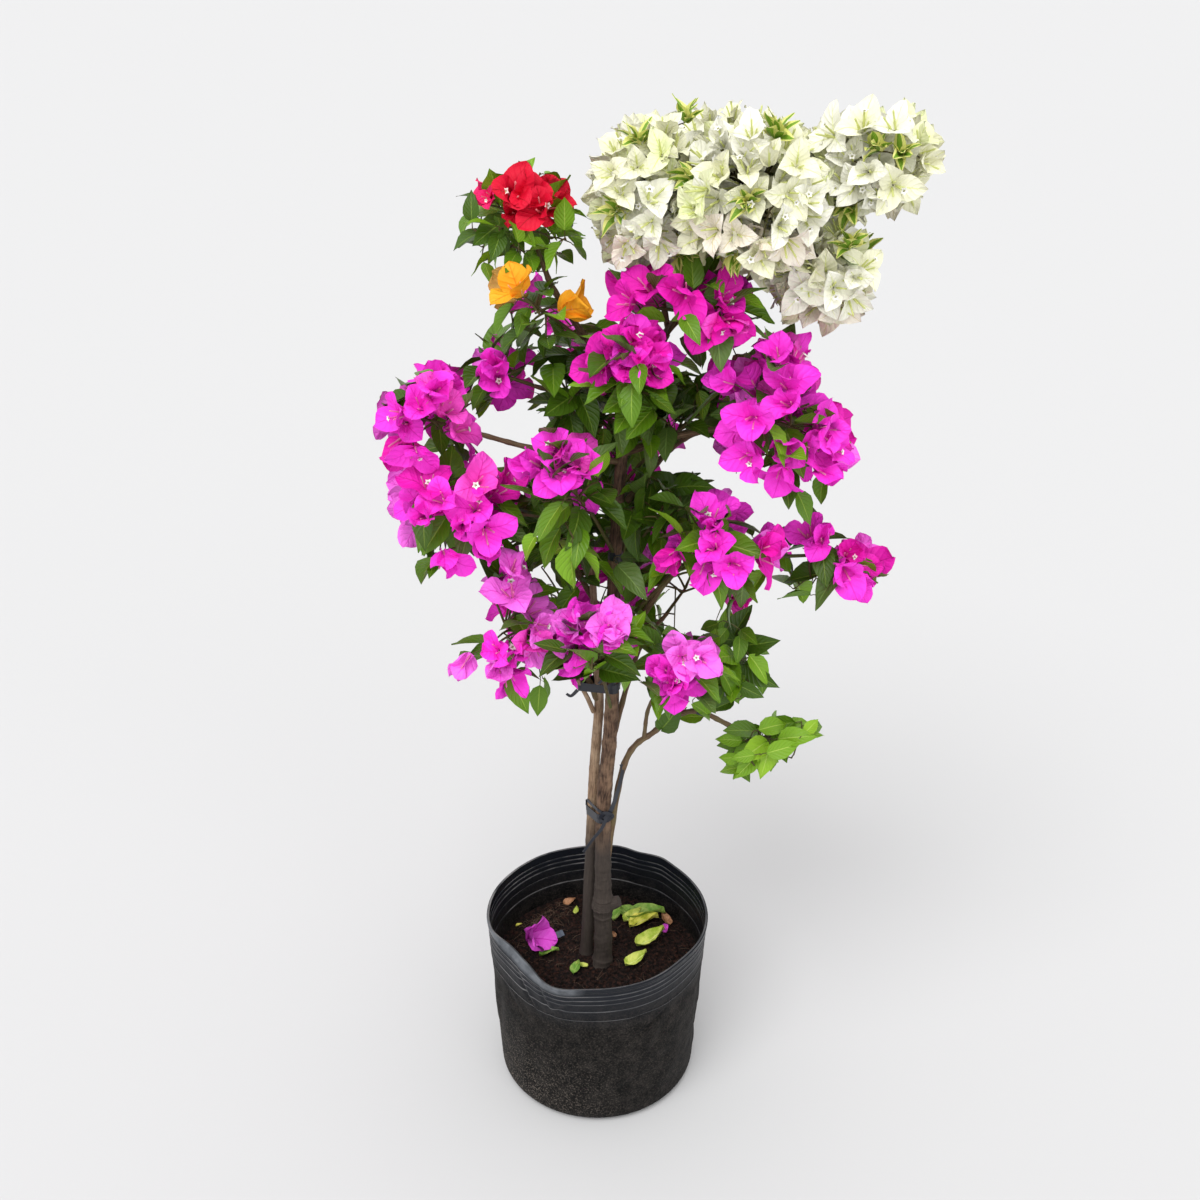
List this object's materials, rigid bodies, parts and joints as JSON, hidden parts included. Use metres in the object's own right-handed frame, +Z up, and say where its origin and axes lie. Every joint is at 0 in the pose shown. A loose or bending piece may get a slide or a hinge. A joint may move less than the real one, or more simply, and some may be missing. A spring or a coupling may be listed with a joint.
{
  "type": "bougainvillea bush",
  "caption": "Potted bougainvillea bush with slender upright stems, spreading boughs and open masses of white, magenta, red and orange bracts.",
  "frame": {"origin": "centre of the bag's flat underside, on the ground", "axes": "+Z up, front of the plant towards -Y, the long white bough towards +X"},
  "size_m": [0.6268, 0.3918, 1.3186],
  "materials": {
    "bag": "dusty black film",
    "soil": "moist crumbly mix",
    "bark": "rough bark",
    "leaves": "matt leaf",
    "magenta_bracts": "papery",
    "white_bracts": "papery",
    "red_bracts": "papery",
    "orange_bracts": "papery"
  },
  "bodies": {
    "root": {"bag": "bag", "soil": "soil", "trunk": "bark", "second_stem": "bark", "bough_low_left": "bark", "bough_low_right": "bark", "bough_low_right_fork": "bark", "bough_low_right_shoot": "bark", "bough_left": "bark", "bough_left_top": "bark", "bough_left_high": "bark", "bough_red": "bark", "bough_orange": "bark", "bough_white": "bark", "bough_white_left": "bark", "bough_white_right": "bark", "bough_white_low": "bark", "bough_white_back": "bark", "bough_top": "bark", "bough_right": "bark", "bough_spur": "bark", "bough_back_top": "bark", "bough_back_right": "bark", "bough_back_left": "bark", "bough_back_low_right": "bark", "bough_back_low_left": "bark", "white_left": "white_bracts", "white_middle": "white_bracts", "white_right": "white_bracts", "white_low": "white_bracts", "white_back": "white_bracts", "red": "red_bracts", "orange": "orange_bracts", "magenta_left_high": "magenta_bracts", "magenta_left_top": "magenta_bracts", "magenta_left": "magenta_bracts", "magenta_front_left": "magenta_bracts", "magenta_low_left": "magenta_bracts", "magenta_low_front": "magenta_bracts", "magenta_top": "magenta_bracts", "magenta_front_high": "magenta_bracts", "magenta_right": "magenta_bracts", "magenta_right_middle": "magenta_bracts", "magenta_spur": "magenta_bracts", "magenta_low_right": "magenta_bracts", "green_low_right": "leaves", "green_spray": "leaves", "green_high_left": "leaves", "green_high_right": "leaves", "green_middle_left": "leaves", "green_middle_right": "leaves", "back_top": "magenta_bracts", "back_right": "magenta_bracts", "back_left": "magenta_bracts", "back_middle": "magenta_bracts", "back_low_right": "magenta_bracts", "back_low_left": "magenta_bracts"}
  },
  "joints": []
}
